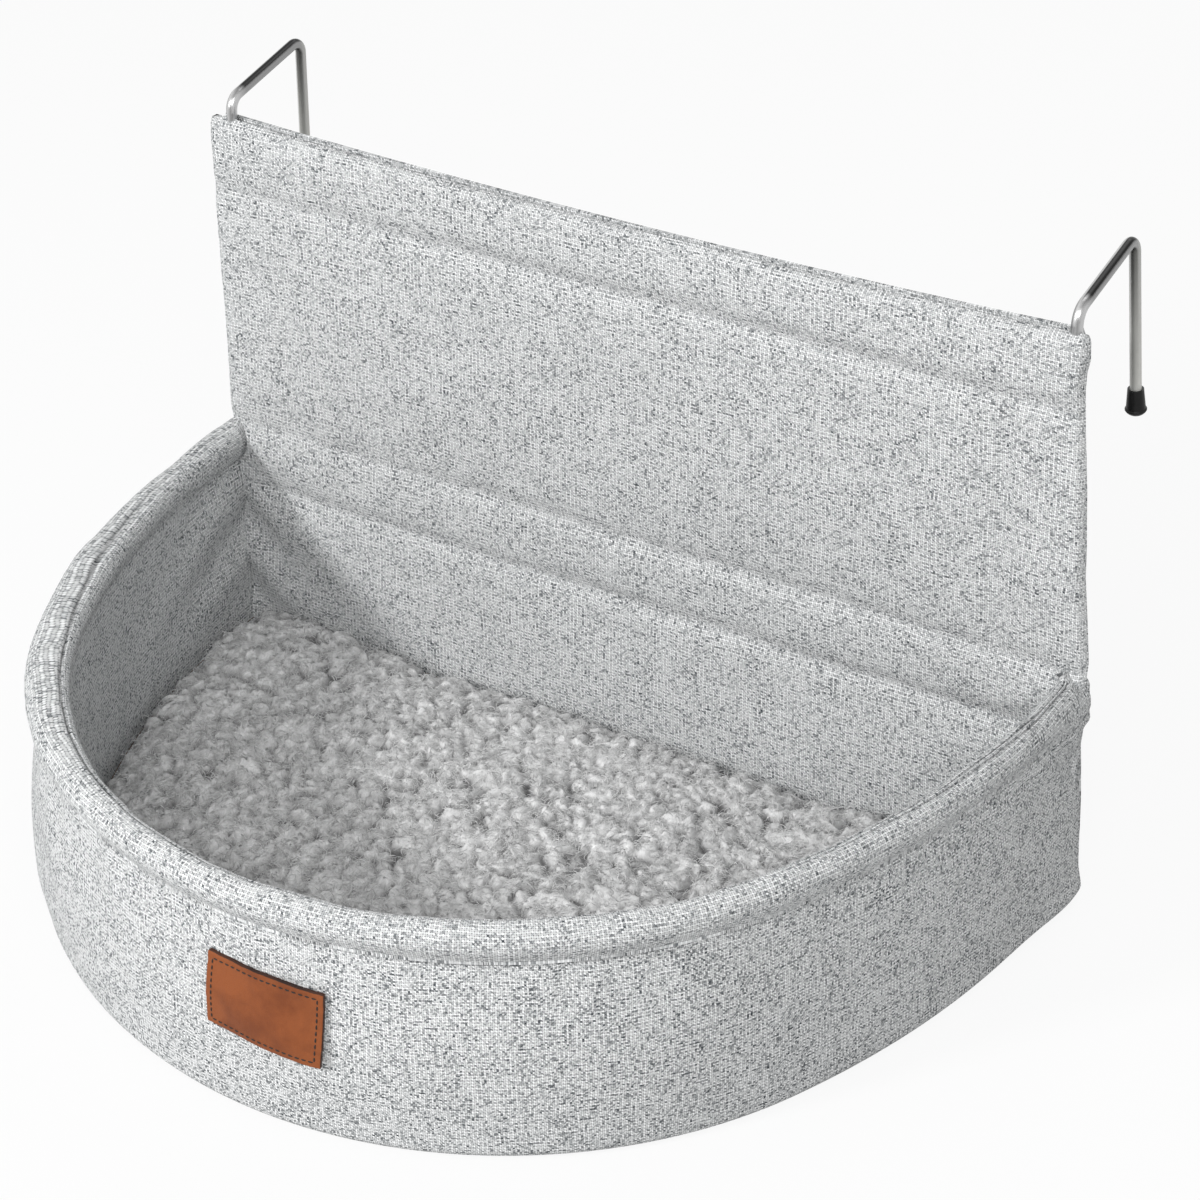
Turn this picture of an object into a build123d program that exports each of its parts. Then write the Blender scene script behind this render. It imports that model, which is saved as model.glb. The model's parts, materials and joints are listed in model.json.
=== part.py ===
from build123d import *
import os
from math import asin, atan2, cos, degrees, hypot, pi, sin, sqrt

# Radiator cat hammock: a D-shaped fabric bed hung from a wire frame with two hooks.
# X runs along the radiator, +Y points at it, Z is up. Origin: centre of the bed's underside.

# Overall sizes
bed_width = 450.0          # outer width over the rim
bed_depth = 302.0          # from the back plane to the front of the rim
bowl_height = 114.0        # top of the rim
panel_top = 275.0          # top corners of the back panel
panel_inset = 9.0          # side of the panel's top corner inside the side of the rim

# Plan of the bowl: a short straight run, a long side arc and a rounder front arc
side_straight = 12.0
side_radius = 400.0

# Wires of the frame
rod_dia = 5.0              # hook rods
hoop_dia = 5.0             # D-shaped rim hoop
bar_dia = 4.0              # bar in the top hem
weld_root = 0.1            # play left between the bar's ends and the rods
hoop_corner = 8.0          # bend where the hoop turns into its back run
hook_inset = 7.0           # rod axis to the side of the panel's top corner
hook_reach = 50.0          # back plane to the top of the hanging leg's axis
hook_shoulder = 8.5        # height of the lower bend's corner over the panel's top
hook_rise = 10.5           # climb of the run over the radiator
hook_leg = 81.0            # drop from the upper corner to the rod's tip
leg_flare = 4.5            # how far the leg's tip stands away from the radiator
leg_splay = 5.0            # how far the leg's tip stands out to its side
shoulder_bend = 7.0        # centre line radius of the lower bend
apex_bend = 6.0            # centre line radius of the upper bend

# Rubber caps
cap_length = 12.2
cap_mouth_dia = 7.0
cap_foot_dia = 9.4
cap_web = 2.2              # rubber below the rod's tip
cap_ridge = 0.5            # moulding line round the foot
cap_fit = 0.1              # clearance on the rod

# Cloth, foam and boards
cloth = 1.2
ply_gap = 0.3              # play between neighbouring plies
wall_thick = 8.5           # the padded wall, outer cloth to lining
board = 3.0                # stiff sheet in the floor
groove_in = 4.0            # how far the wall is drawn in under the rim
belly = 1.6                # swell of the wall between its fold and the rim
rim_width = 12.0
rim_band = 16.0            # height of the rolled rim
tuck = 6.0                 # length of wall cloth that goes up inside the rim

# Back panel
top_sag = 4.5              # dip of the top edge between the hooks
hem_round = 3.0            # rounding of the panel's front edges
hem_drop = 35.0            # top edge to the upper stitch line
side_channel = 33.0        # side edge to the upright stitch lines
seam_rise = 3.0            # rim seam over the top of the rim
back_channel = 33.0        # rim seam to the lower stitch line
stitch_radius = 5.0        # section of the drawn-in stitch grooves
stitch_depth = 1.2
pad_margin = 4.0           # stitch line to the edge of the padding

# Lift-out cushion
cushion_clear = 0.6        # cushion to the inside of the rim, all round
cushion_edge = 10.0        # height of the cushion at its edge
cushion_crown = 4.5        # further height at its middle
cushion_round = 3.5        # rounding of its top edge
cushion_draw = 4.0         # how far the back edge pulls in between the corners
cushion_corner = 14.0      # rounding of the back corners in plan
backing = 1.0
fleece_side = 3.0          # pile fabric round the edge
core_share = 0.5           # foam's part of the height at the edge

# Leather patch on the front
patch_width = 54.0
patch_height = 35.0
patch_thick = 1.4
patch_offset = 10.5        # to the right of the middle
patch_base = 40.5          # lower edge above the ground

overrun = 5.0              # extra length of cutting tools

UP = (0, 0, 1)
FORWARD = (0, -1, 0)       # away from the radiator

# Worked out from the sizes above
panel_thick = rod_dia + 2 * (cloth + ply_gap)
back_y = bed_depth / 2
front_face_y = back_y - panel_thick
rear_ply_y = back_y - cloth - ply_gap
wire_y = back_y - panel_thick / 2
half_width = bed_width / 2
panel_top_width = bed_width - 2 * panel_inset
base_top = cloth + ply_gap + board
fold_radius = base_top + ply_gap
fold_top = fold_radius + ply_gap
floor_top = fold_radius + cloth
groove_z = bowl_height - rim_band
tuck_z = groove_z + tuck
rim_radius = rim_width / 2
hoop_z = bowl_height - cloth - 2 * ply_gap - hoop_dia / 2
seam_z = bowl_height + seam_rise
lower_seam_z = seam_z - back_channel
hem_seam_z = panel_top - hem_drop
rod_x = panel_top_width / 2 - hook_inset
side_centre_y = back_y - side_straight


def front_radius():
    """Radius of the front arc that meets both side arcs without a corner."""
    bulge = bed_depth - side_straight
    over = half_width ** 2 + bulge ** 2 - 2 * side_radius * half_width
    return over / (2 * (bulge - side_radius))


def front_centre_y():
    return front_radius() - back_y


def meeting_angle():
    """Angle below the X axis at which side arc and front arc meet."""
    return atan2(side_centre_y - front_centre_y(), side_radius - half_width)


def bowl_line(inset, end_y):
    """Plan line of the bowl from the right end round the front to the left end."""
    centre_x = half_width - side_radius
    radius = side_radius - inset
    angle = meeting_angle()
    x = half_width - inset

    def side_point(a):
        return centre_x + radius * cos(a), side_centre_y - radius * sin(a)

    def mirrored(point):
        return -point[0], point[1]

    first = asin(max(0, side_centre_y - end_y) / radius)
    start, meet = side_point(first), side_point(angle)
    middle = side_point((first + angle) / 2)
    edges = [ThreePointArc(start, middle, meet)]
    edges.append(ThreePointArc(meet, (0, inset - back_y), mirrored(meet)))
    edges.append(ThreePointArc(mirrored(meet), mirrored(middle), mirrored(start)))
    if end_y > side_centre_y:
        edges = [Line((x, end_y), start)] + edges + [Line(mirrored(start), (-x, end_y))]
    return edges


def rounded_bowl(inset, back, corner, draw=0):
    """Closed plan line with tangent back corners, its back edge drawn in by draw."""
    radius = side_radius - inset
    drop = max(0, side_centre_y - (back - corner))
    turn = asin(drop / (radius - corner))
    edges = bowl_line(inset, back - corner + drop - radius * sin(turn))
    centre_x = half_width - side_radius + (radius - corner) * cos(turn)
    slant = 0
    if draw:
        over = centre_x ** 2 + (corner - draw) ** 2 - corner ** 2
        slant = asin(centre_x / (over / (2 * draw) + corner))
    x = centre_x - corner * sin(slant)
    y = back - corner + corner * cos(slant)
    last = pi / 2 + slant
    for side in (1, -1):
        points = []
        for angle in (-turn, (last - turn) / 2, last):
            side_x = centre_x + corner * cos(angle)
            points.append((side * side_x, back - corner + corner * sin(angle)))
        edges.append(ThreePointArc(*points))
    if draw:
        return edges + [ThreePointArc((-x, y), (0, back - draw), (x, y))]
    return edges + [Line((-x, y), (x, y))]


def bowl_plate(inset, end_y, bottom, thick):
    """Flat D-shaped sheet, its back edge at end_y."""
    x = half_width - inset
    face = make_face(bowl_line(inset, end_y) + [Line((-x, end_y), (x, end_y))])
    return Pos(0, 0, bottom) * extrude(face, thick, dir=UP)


def along_bowl(section, end_y):
    """Sweep a section, drawn as inset and height, along the bowl's plan line."""
    start = Plane(origin=(half_width, end_y, 0), x_dir=(-1, 0, 0), z_dir=(0, 1, 0))
    return sweep(start * section, path=Wire(bowl_line(0, end_y)))


def wall_curve(depth, bottom):
    """Swelling outer line of the wall, depth behind its face, up to the tuck."""
    low = (depth, bottom)
    high = (groove_in + depth, groove_z)
    middle = (groove_in / 2 - belly + depth, (fold_top + groove_z) / 2)
    return [ThreePointArc(low, middle, high), Line(high, (high[0], tuck_z))]


def wall_fold(depth):
    """Quarter turn from under the bed into the wall, its low side off the ground."""
    reach = (fold_radius - depth) * sqrt(0.5)
    middle = (fold_radius - reach, fold_top - reach)
    low = (fold_radius, fold_top - fold_radius + depth)
    return ThreePointArc(low, middle, (depth, fold_top))


def outer_wall():
    edges = [wall_fold(0)] + wall_curve(0, fold_top)
    edges += [Line((groove_in, tuck_z), (groove_in + cloth, tuck_z))]
    edges += wall_curve(cloth, fold_top) + [wall_fold(cloth)]
    edges += [Line(edges[0] @ 0, edges[-1] @ 0)]
    return along_bowl(make_face(edges), rear_ply_y)


def wall_foam():
    depth = cloth + ply_gap
    inside = wall_thick - cloth - ply_gap
    edges = wall_curve(depth, fold_top)
    edges += [Line((groove_in + depth, tuck_z), (inside, tuck_z))]
    edges += [Line((inside, tuck_z), (inside, fold_top))]
    edges += [Line((inside, fold_top), (depth, fold_top))]
    return along_bowl(make_face(edges), front_face_y - ply_gap)


def wall_lining():
    inside = wall_thick - cloth / 2
    middle_z = (fold_radius + tuck_z) / 2
    section = Pos(inside, middle_z) * Rectangle(cloth, tuck_z - fold_radius)
    return along_bowl(section, front_face_y - ply_gap)


def rim_contour(depth):
    """Rolled rim: a half circle on top and two legs that close in on the wall."""
    centre_z = bowl_height - rim_radius
    left, right = (depth, centre_z), (rim_width - depth, centre_z)
    outer_foot = (groove_in - ply_gap - cloth + depth, groove_z)
    inner_foot = (wall_thick + ply_gap + cloth - depth, groove_z)
    top = (rim_radius, bowl_height - depth)
    legs = [TangentArc(left, outer_foot, tangent=(0, -1))]
    legs += [TangentArc(right, inner_foot, tangent=(0, -1))]
    return legs + [ThreePointArc(left, top, right)], outer_foot, inner_foot


def rim_sleeve():
    outside, outer_foot, inner_foot = rim_contour(0)
    inside, outer_lip, inner_lip = rim_contour(cloth)
    feet = [Line(outer_foot, outer_lip), Line(inner_foot, inner_lip)]
    sleeve = along_bowl(make_face(outside + inside + feet), rear_ply_y)
    return sleeve - hoop_tube(hoop_dia / 2 + ply_gap)


def hoop_line():
    """Closed centre line of the rim hoop with its two rounded back corners."""
    return Pos(0, 0, hoop_z) * Wire(rounded_bowl(rim_radius, wire_y, hoop_corner))


def hoop_tube(radius):
    line = hoop_line()
    section = Plane(origin=line @ 0, z_dir=line % 0) * Circle(radius)
    return sweep(section, path=line)


def hook_corners(side):
    """Corners of the rod's centre line, from the hoop up and over the radiator."""
    x = side * rod_x
    shoulder_z = panel_top + hook_shoulder
    apex = (x, back_y + hook_reach, shoulder_z + hook_rise)
    tip = (x + side * leg_splay, apex[1] + leg_flare, apex[2] - hook_leg)
    return [(x, wire_y, hoop_z), (x, wire_y, shoulder_z), apex, tip]


def hook_rod(side):
    line = FilletPolyline(hook_corners(side), radius=[shoulder_bend, apex_bend])
    section = Plane(origin=line @ 0, z_dir=line % 0) * Circle(rod_dia / 2)
    return sweep(section, path=line) - hoop_tube(hoop_dia / 2)


def hook_cap(side):
    """Ferrule-shaped rubber foot pushed on the rod's tip."""
    apex, tip = [Vector(*p) for p in hook_corners(side)[2:]]
    up = (apex - tip).normalized()
    foot = Plane(origin=tip - up * cap_web, x_dir=(1, 0, 0), z_dir=up)
    bore = rod_dia / 2 + cap_fit
    mouth, wide = cap_mouth_dia / 2, cap_foot_dia / 2
    dome = cap_web
    outline = [
        ThreePointArc((0, 0), (wide * sin(pi / 4), dome * (1 - cos(pi / 4))), (wide, dome)),
        Line((wide, dome), (wide, dome + cap_ridge)),
        Line((wide, dome + cap_ridge), (wide - cap_ridge, dome + 2 * cap_ridge)),
        Line((wide - cap_ridge, dome + 2 * cap_ridge), (mouth, cap_length)),
        Line((mouth, cap_length), (bore, cap_length)),
        Line((bore, cap_length), (bore, cap_web)),
        Line((bore, cap_web), (0, cap_web)),
        Line((0, cap_web), (0, 0)),
    ]
    return foot * revolve(Plane.XZ * make_face(outline), Axis.Z)


def top_bar():
    """Wire in the top hem, bowed by the pull of the cover, between the two rods."""
    z = panel_top - cloth - 2 * ply_gap - bar_dia / 2
    reach = rod_x - rod_dia / 2 - weld_root
    line = ThreePointArc((-reach, wire_y, z), (0, wire_y, z - top_sag), (reach, wire_y, z))
    section = Plane(origin=line @ 0, z_dir=line % 0) * Circle(bar_dia / 2)
    return sweep(section, path=line)


def back_outline(inset):
    """Half of the padded back seen from the front, with its step at the rim."""
    channel_x = half_width - groove_in - cloth - ply_gap - inset
    notch_x = half_width - rim_width - ply_gap - inset
    low_x = half_width - rim_radius - inset
    high_x = panel_top_width / 2 - inset
    notch_low = groove_z - ply_gap - inset
    notch_high = bowl_height + ply_gap + inset
    bottom = fold_radius + inset
    top = panel_top - inset
    right = [(channel_x, bottom), (channel_x, notch_low), (notch_x, notch_low)]
    right += [(notch_x, notch_high), (low_x, notch_high), (high_x, top)]
    left = [(-x, z) for x, z in reversed(right)]
    edges = [Line(a, b) for a, b in zip(right, right[1:])]
    edges += [Line(a, b) for a, b in zip(left, left[1:])]
    edges += [ThreePointArc(right[-1], (0, top - top_sag), left[0])]
    return make_face(edges + [Line(left[-1], right[0])])


def back_slab(inset, front_y, rear_y):
    """Solid under the back's outline, its edges over the rim rounded at the front."""
    upright = Plane(origin=(0, rear_y, 0), x_dir=(1, 0, 0), z_dir=(0, -1, 0))
    slab = extrude(upright * back_outline(inset), rear_y - front_y, dir=FORWARD)
    front = slab.faces().sort_by(Axis.Y)[0]
    upper = [e for e in front.edges() if e.bounding_box().max.Z > panel_top - hem_drop]
    return fillet(upper, hem_round - inset)


def stitch_grooves(face_y):
    """Round bars that press the stitch lines into a face that looks along -Y."""
    y = face_y + stitch_depth - stitch_radius
    reach = rod_x - rod_dia
    upright_x = panel_top_width / 2 - side_channel
    grooves = []
    for z in (seam_z, lower_seam_z, hem_seam_z):
        length = 2 * (upright_x if z == hem_seam_z else reach)
        grooves.append(Pos(0, y, z) * Rot(0, 90, 0) * Cylinder(stitch_radius, length))
    middle_z = (seam_z + hem_seam_z) / 2
    for side in (1, -1):
        bar = Cylinder(stitch_radius, hem_seam_z - seam_z)
        grooves.append(Pos(side * upright_x, y, middle_z) * bar)
    return grooves


def front_cover():
    """Cloth of the back: its face, its side and top turnings, open at the rear."""
    shell = back_slab(0, front_face_y, rear_ply_y)
    for groove in stitch_grooves(front_face_y):
        shell -= groove
    hollow = back_slab(cloth, front_face_y + cloth, rear_ply_y + overrun)
    for groove in stitch_grooves(front_face_y + cloth):
        hollow -= groove
    shell -= hollow
    shell -= hoop_tube(hoop_dia / 2 + ply_gap)
    for side in (1, -1):
        slit = Cylinder(rod_dia / 2 + ply_gap, 2 * hem_drop)
        shell -= Pos(side * rod_x, wire_y, panel_top) * slit
    return shell


def rear_cover():
    """Flat cloth behind the bed, cut to the outline of the wall, rim and panel."""
    centre_z = bowl_height - rim_radius
    foot_x = half_width - (groove_in - ply_gap - cloth)
    shoulder_x = half_width - rim_radius
    edges = []
    for side in (1, -1):
        def at(x, z):
            return side * x, z

        reach = fold_radius * sqrt(0.5)
        corner = half_width - fold_radius
        low = at(half_width, fold_radius)
        middle = at(half_width - groove_in / 2 + belly, (fold_radius + groove_z) / 2)
        groove = at(half_width - groove_in, groove_z)
        bend = rim_radius * sqrt(0.5)
        fold_middle = at(corner + reach, fold_radius - reach)
        edges.append(ThreePointArc(at(corner, 0), fold_middle, low))
        edges.append(ThreePointArc(low, middle, groove))
        edges.append(Line(groove, at(foot_x, groove_z)))
        edges.append(TangentArc(at(half_width, centre_z), at(foot_x, groove_z), tangent=(0, -1)))
        top = at(shoulder_x, bowl_height)
        rim_middle = at(shoulder_x + bend, centre_z + bend)
        edges.append(ThreePointArc(at(half_width, centre_z), rim_middle, top))
        edges.append(Line(top, at(panel_top_width / 2, panel_top)))
    corner_x = half_width - fold_radius
    edges.append(Line((corner_x, 0), (-corner_x, 0)))
    high = panel_top_width / 2
    edges.append(ThreePointArc((-high, panel_top), (0, panel_top - top_sag), (high, panel_top)))
    upright = Plane(origin=(0, back_y, 0), x_dir=(1, 0, 0), z_dir=(0, -1, 0))
    return extrude(upright * make_face(edges), cloth, dir=FORWARD)


def back_filling(half_length, bottom, top):
    """Sheet of padding between the stitch lines of the back."""
    height = top - bottom
    return Pos(0, wire_y, bottom + height / 2) * Box(2 * half_length, rod_dia, height)


def panel_pad():
    half_length = panel_top_width / 2 - side_channel - pad_margin
    bottom = seam_z + pad_margin
    return back_filling(half_length, bottom, hem_seam_z - pad_margin - top_sag)


def bowl_back_foam():
    half_length = rod_x - rod_dia
    bottom = fold_radius + cloth + ply_gap
    return back_filling(half_length, bottom, lower_seam_z - pad_margin)


def base_cloth():
    return bowl_plate(fold_radius + ply_gap, rear_ply_y, 0, cloth)


def base_board():
    return bowl_plate(fold_radius, rear_ply_y, cloth + ply_gap, board)


def floor_lining():
    end_y = front_face_y - ply_gap
    return bowl_plate(wall_thick + ply_gap, end_y, fold_radius, cloth)


def cushion_plan(inset):
    """Plan of the cushion: clear of the rim, back edge drawn in between corners."""
    edge = rim_width + cushion_clear + inset
    end_y = front_face_y - cushion_clear - inset
    return make_face(rounded_bowl(edge, end_y, cushion_corner - inset, cushion_draw))


def cushion_body(inset, bottom, edge_height):
    """Crowned block: the plan under a wide dome, with a rounded top edge."""
    reach = hypot(half_width, back_y)
    radius = (reach ** 2 + cushion_crown ** 2) / (2 * cushion_crown)
    top = bottom + edge_height + cushion_crown
    block = extrude(cushion_plan(inset), edge_height + cushion_crown, dir=UP)
    block = Pos(0, 0, bottom) * block
    dome = Pos(0, 0, top - radius) * Rot(0, 90, 0) * Sphere(radius)
    return block & dome


def cushion_parts():
    """Fleece cover, foam core and backing of the lift-out cushion."""
    low = floor_top + ply_gap
    seat = low + backing + ply_gap
    height = cushion_edge - backing - ply_gap
    core_height = height * core_share
    fleece = cushion_body(0, seat, height)
    rim = fleece.edges().filter_by(lambda e: e.bounding_box().min.Z > seat + height / 2)
    fleece = fillet(rim, cushion_round)
    hollow = Pos(0, 0, seat) * extrude(cushion_plan(fleece_side), core_height, dir=UP)
    fleece = fleece - hollow
    core_plan = cushion_plan(fleece_side + ply_gap)
    core = Pos(0, 0, seat) * extrude(core_plan, core_height - ply_gap, dir=UP)
    sheet = Pos(0, 0, low) * extrude(cushion_plan(0), backing, dir=UP)
    return fleece, core, sheet


def leather_patch():
    """Blank patch that lies on the swell of the wall, a little right of the middle."""
    low = -ply_gap - patch_thick
    edges = wall_curve(low, fold_top)[:1] + wall_curve(-ply_gap, fold_top)[:1]
    edges.append(Line((low, fold_top), (-ply_gap, fold_top)))
    edges.append(Line((groove_in + low, groove_z), (groove_in - ply_gap, groove_z)))
    window = Pos(0, patch_base + patch_height / 2) * Rectangle(2 * rim_width, patch_height)
    section = make_face(edges) & window
    front = Plane(origin=(0, -back_y, 0), x_dir=(0, 1, 0), z_dir=(1, 0, 0))
    axis = Axis((0, front_centre_y(), 0), (0, 0, 1))
    spread = degrees(patch_width / front_radius())
    turn = degrees(patch_offset / front_radius()) - spread / 2
    patch = revolve(front * section, axis, spread)
    pivot = Pos(0, front_centre_y(), 0)
    return pivot * Rot(0, 0, turn) * Pos(0, -front_centre_y(), 0) * patch


fleece_top, cushion_core, cushion_backing = cushion_parts()
nodes = {
    "left_hook_rod": hook_rod(-1),
    "right_hook_rod": hook_rod(1),
    "left_hook_cap": hook_cap(-1),
    "right_hook_cap": hook_cap(1),
    "top_hem_bar": top_bar(),
    "rim_hoop": hoop_tube(hoop_dia / 2),
    "rim_sleeve": rim_sleeve(),
    "outer_wall_cloth": outer_wall(),
    "wall_foam": wall_foam(),
    "wall_lining": wall_lining(),
    "front_cover": front_cover(),
    "rear_cover": rear_cover(),
    "panel_pad": panel_pad(),
    "bowl_back_foam": bowl_back_foam(),
    "base_cloth": base_cloth(),
    "base_board": base_board(),
    "floor_lining": floor_lining(),
    "cushion_fleece": fleece_top,
    "cushion_core": cushion_core,
    "cushion_backing": cushion_backing,
    "leather_patch": leather_patch(),
}

os.makedirs("parts", exist_ok=True)
for name, solid in nodes.items():
    solid.label = name
    export_step(solid, f"parts/{name}.step")
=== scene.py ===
import json
import math

import bpy
import numpy as np
from mathutils import Matrix, Vector, noise

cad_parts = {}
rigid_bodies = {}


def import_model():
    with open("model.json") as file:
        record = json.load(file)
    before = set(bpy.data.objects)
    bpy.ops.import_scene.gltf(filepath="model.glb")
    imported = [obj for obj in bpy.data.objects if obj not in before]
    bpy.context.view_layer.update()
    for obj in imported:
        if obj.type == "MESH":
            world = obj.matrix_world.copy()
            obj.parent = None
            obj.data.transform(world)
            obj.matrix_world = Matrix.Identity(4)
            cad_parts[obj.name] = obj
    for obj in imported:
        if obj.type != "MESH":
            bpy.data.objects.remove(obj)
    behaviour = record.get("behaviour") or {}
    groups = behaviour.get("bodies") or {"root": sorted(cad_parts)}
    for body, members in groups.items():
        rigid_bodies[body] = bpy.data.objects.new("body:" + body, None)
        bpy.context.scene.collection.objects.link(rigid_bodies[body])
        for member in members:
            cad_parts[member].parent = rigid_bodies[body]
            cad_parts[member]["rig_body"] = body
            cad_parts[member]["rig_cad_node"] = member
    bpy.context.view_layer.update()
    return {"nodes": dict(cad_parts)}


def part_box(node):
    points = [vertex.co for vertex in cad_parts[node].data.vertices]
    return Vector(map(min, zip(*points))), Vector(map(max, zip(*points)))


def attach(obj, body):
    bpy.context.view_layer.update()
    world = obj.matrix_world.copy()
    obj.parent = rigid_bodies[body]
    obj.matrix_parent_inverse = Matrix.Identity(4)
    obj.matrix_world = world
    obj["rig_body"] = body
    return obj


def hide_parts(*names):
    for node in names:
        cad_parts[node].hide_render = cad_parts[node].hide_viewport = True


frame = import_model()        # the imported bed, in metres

nodes = frame["nodes"]
print("frame loaded")


# Camera, floor and light

cameraValues = {
    "place": (0.6411, -0.9049, 0.8600),
    "lookAt": (0.0984, 0.0010, 0.2063),
    "roll": -0.357,          # degrees
    "lens": 95.54,
    "shiftX": -0.04196,
    "shiftY": -0.0240,
}


def addCamera(values):
    place = Vector(values["place"])
    back = (place - Vector(values["lookAt"])).normalized()
    right = Vector((0, 0, 1)).cross(back).normalized()
    up = back.cross(right)
    roll = math.radians(values["roll"])
    sideways = right * math.cos(roll) + up * math.sin(roll)
    upwards = up * math.cos(roll) - right * math.sin(roll)
    bpy.ops.object.camera_add()
    camera = bpy.context.object
    turn = Matrix((sideways, upwards, back)).transposed().to_4x4()
    camera.matrix_world = Matrix.Translation(place) @ turn
    camera.data.lens = values["lens"]
    camera.data.shift_x = values["shiftX"]
    camera.data.shift_y = values["shiftY"]
    bpy.context.scene.camera = camera


floorValues = {"size": 8.0, "colour": (0.60, 0.60, 0.60), "paperShare": 0.90}

lampValues = [  # name, place, size, watts
    ("keyLamp", (-0.99, -1.72, 1.29), 0.3, 38),
    ("frontLamp", (0.0, -1.70, 1.68), 1.2, 10),
    ("rightLamp", (1.01, -1.44, 1.60), 1.2, 27),
    ("rearLamp", (0.0, 1.48, 1.88), 1.2, 12),
]
paperWhite = (1, 1, 1, 1)
studioValues = {"ambient": 0.43, "lampsAimAt": (0, 0, 0.12), "floorZ": -0.0002}


def feed(tree, socket, value):
    if isinstance(value, bpy.types.NodeSocket):
        tree.links.new(value, socket)
    else:
        socket.default_value = value


def addNode(tree, kind, feeds=None, out=0, **settings):
    made = tree.nodes.new("ShaderNode" + kind)
    for key, value in settings.items():
        setattr(made, key, value)
    for key, value in (feeds or {}).items():
        feed(tree, made.inputs[key], value)
    return made.outputs[out]


def calc(tree, operation, first, second=0.0, third=0.0):
    return addNode(tree, "Math", {0: first, 1: second, 2: third}, operation=operation)


def seenDirectly(tree):
    # 1 for what the camera sees itself, or in metal or through glass
    rays = tree.nodes.new("ShaderNodeLightPath")
    seen = calc(tree, "MAXIMUM", rays.outputs["Is Camera Ray"], rays.outputs["Is Glossy Ray"])
    return calc(tree, "MAXIMUM", seen, rays.outputs["Is Transmission Ray"])


def addFloor(values):
    bpy.ops.object.select_all(action="DESELECT")
    bpy.ops.mesh.primitive_plane_add(size=values["size"], location=(0, 0, studioValues["floorZ"]))
    floor = bpy.context.object
    floor.name = "studioFloor"
    material = bpy.data.materials.new("studioFloor")
    material.use_nodes = True
    tree = material.node_tree
    tree.nodes.clear()
    paper = addNode(tree, "BsdfDiffuse", {"Color": (*values["colour"], 1)})
    white = addNode(tree, "Emission", {"Color": paperWhite, "Strength": 1.0})
    share = calc(tree, "MULTIPLY", seenDirectly(tree), values["paperShare"])
    mixed = addNode(tree, "MixShader", {0: share, 1: paper, 2: white})
    feed(tree, tree.nodes.new("ShaderNodeOutputMaterial").inputs["Surface"], mixed)
    floor.data.materials.append(material)


def addWorld():
    world = bpy.data.worlds.new("studio")
    world.use_nodes = True
    bpy.context.scene.world = world
    tree = world.node_tree
    tree.nodes.clear()
    soft = addNode(tree, "Background", {"Color": paperWhite, "Strength": studioValues["ambient"]})
    white = addNode(tree, "Background", {"Color": paperWhite, "Strength": 1.0})
    mixed = addNode(tree, "MixShader", {0: seenDirectly(tree), 1: soft, 2: white})
    feed(tree, tree.nodes.new("ShaderNodeOutputWorld").inputs["Surface"], mixed)


def addLamps():
    target = Vector(studioValues["lampsAimAt"])
    for name, place, size, watts in lampValues:
        bpy.ops.object.light_add(type="AREA", location=place)
        lamp = bpy.context.object
        lamp.name = name
        lamp.data.size = size
        lamp.data.energy = watts
        lamp.rotation_euler = (Vector(place) - target).to_track_quat("Z", "Y").to_euler()


addCamera(cameraValues)
addFloor(floorValues)
addWorld()
addLamps()
bpy.context.scene.view_settings.view_transform = "Standard"
print("camera, floor and light ready")


# Materials

def newMaterial(name):
    material = bpy.data.materials.new(name)
    material.use_nodes = True
    return material, material.node_tree, material.node_tree.nodes["Principled BSDF"]


def objectPlace(tree):
    return tree.nodes.new("ShaderNodeTexCoord").outputs["Object"]


def splitPlace(tree, place):
    split = tree.nodes.new("ShaderNodeSeparateXYZ")
    feed(tree, split.inputs[0], place)
    return split.outputs


def colourRamp(tree, factor, stops):
    ramp = tree.nodes.new("ShaderNodeValToRGB")
    while len(ramp.color_ramp.elements) < len(stops):
        ramp.color_ramp.elements.new(0.5)
    for element, (place, colour) in zip(ramp.color_ramp.elements, stops):
        element.position = place
        element.color = (*colour, 1)
    feed(tree, ramp.inputs[0], factor)
    return ramp.outputs[0]


def mixColour(tree, factor, first, second, blend="MIX"):
    feeds = {0: factor, 6: first, 7: second}
    return addNode(tree, "Mix", feeds, out=2, data_type="RGBA", blend_type=blend)


def mixNumber(tree, factor, first, second):
    return addNode(tree, "Mix", {0: factor, 2: first, 3: second}, data_type="FLOAT")


def scaled(tree, value, factor, plus=0.0):
    return calc(tree, "MULTIPLY_ADD", value, factor, plus)


def ranged(tree, value, first, last, low=0.3, high=0.7):
    # the span from low to high, spread from first to last
    return addNode(tree, "MapRange", {0: value, 1: low, 2: high, 3: first, 4: last})


def pair(tree, first, second):
    return addNode(tree, "CombineXYZ", {0: first, 1: second})


def noiseAt(tree, place, scale, detail=2.0, roughness=0.5, flat=False):
    feeds = {"Vector": place, "Scale": scale, "Detail": detail, "Roughness": roughness}
    return addNode(tree, "TexNoise", feeds, noise_dimensions="2D" if flat else "3D")


def wavered(tree, place, source, scale, size, flat=False):
    # a place moved about by noise that is read at the source
    waver = addNode(tree, "TexNoise", {"Vector": source, "Scale": scale, "Detail": 1.0},
                    out=1, noise_dimensions="2D" if flat else "3D")
    waver = addNode(tree, "VectorMath", {0: waver, 1: (0.5, 0.5, 0.5)}, operation="SUBTRACT")
    waver = addNode(tree, "VectorMath", {0: waver, 3: size}, operation="SCALE")
    return addNode(tree, "VectorMath", {0: place, 1: waver}, operation="ADD")


def finishShader(tree, shader, colour, relief, sockets):
    # relief is a height, its distance and its strength
    height, distance, strength = relief
    bump = addNode(tree, "Bump", {"Height": height, "Distance": distance, "Strength": strength})
    for name, value in {"Base Color": colour, "Normal": bump, **sockets}.items():
        feed(tree, shader.inputs[name], value)


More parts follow.
